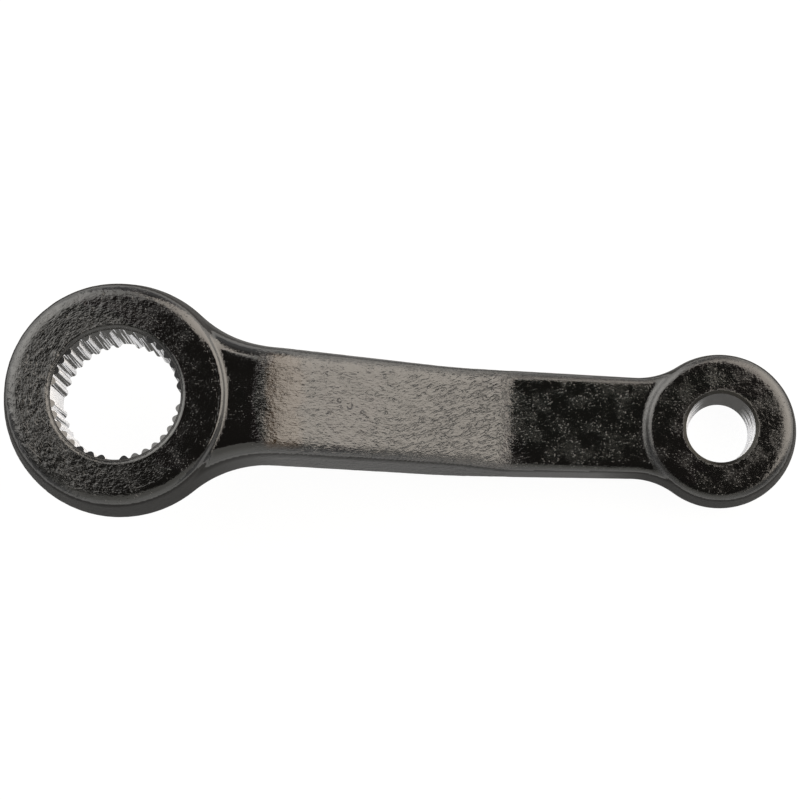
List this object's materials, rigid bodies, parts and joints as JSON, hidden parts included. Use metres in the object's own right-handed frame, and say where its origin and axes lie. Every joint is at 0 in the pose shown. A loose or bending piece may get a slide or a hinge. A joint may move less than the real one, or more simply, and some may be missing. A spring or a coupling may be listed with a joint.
{
  "type": "pitman arm",
  "caption": "Cranked forged steering arm with a serrated tapered eye and a smaller ball-stud eye, painted gloss black with bare machined bores.",
  "frame": {"origin": "on the serrated bore's axis, level with the hub's upper face", "axes": "+X along the arm towards the ball-stud eye, +Z along the serrated bore's axis towards the steering box"},
  "size_m": [0.1961, 0.0576, 0.0485],
  "materials": {
    "pitman_arm": "gloss black paint over a rough drop-forged steel skin, with bare machined steel in both bores"
  },
  "bodies": {
    "root": {"pitman_arm": "pitman_arm"}
  },
  "joints": []
}
